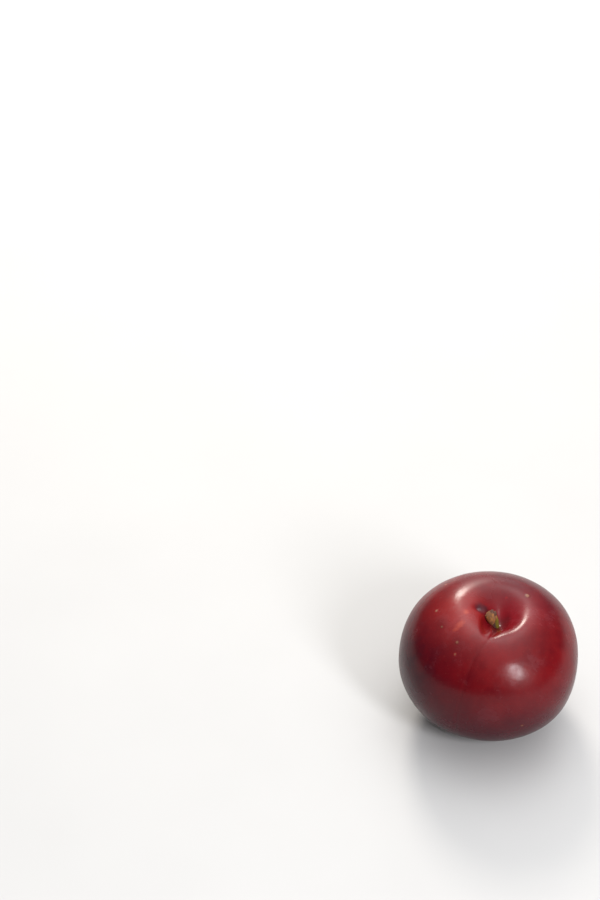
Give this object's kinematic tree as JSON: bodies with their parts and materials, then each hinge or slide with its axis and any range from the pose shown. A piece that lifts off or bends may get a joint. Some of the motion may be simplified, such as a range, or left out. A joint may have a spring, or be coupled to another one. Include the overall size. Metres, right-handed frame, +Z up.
{
  "type": "plum",
  "caption": "Ripe red dessert plum, round and a little flattened, resting upright with a torn stalk stub in its stem cavity.",
  "frame": {"origin": "on the surface the plum rests on, under the middle of the fruit's outline seen from above", "axes": "+Z up, from the flat it rests on towards the stem cavity; -Y the front, the side the suture notch is on; +X the fruit's right seen from the front"},
  "size_m": [0.0632, 0.0618, 0.0508],
  "materials": {
    "skin": "satin",
    "stalk": "matte"
  },
  "bodies": {
    "root": {"fruit": "skin", "stalk": "stalk"}
  },
  "joints": []
}
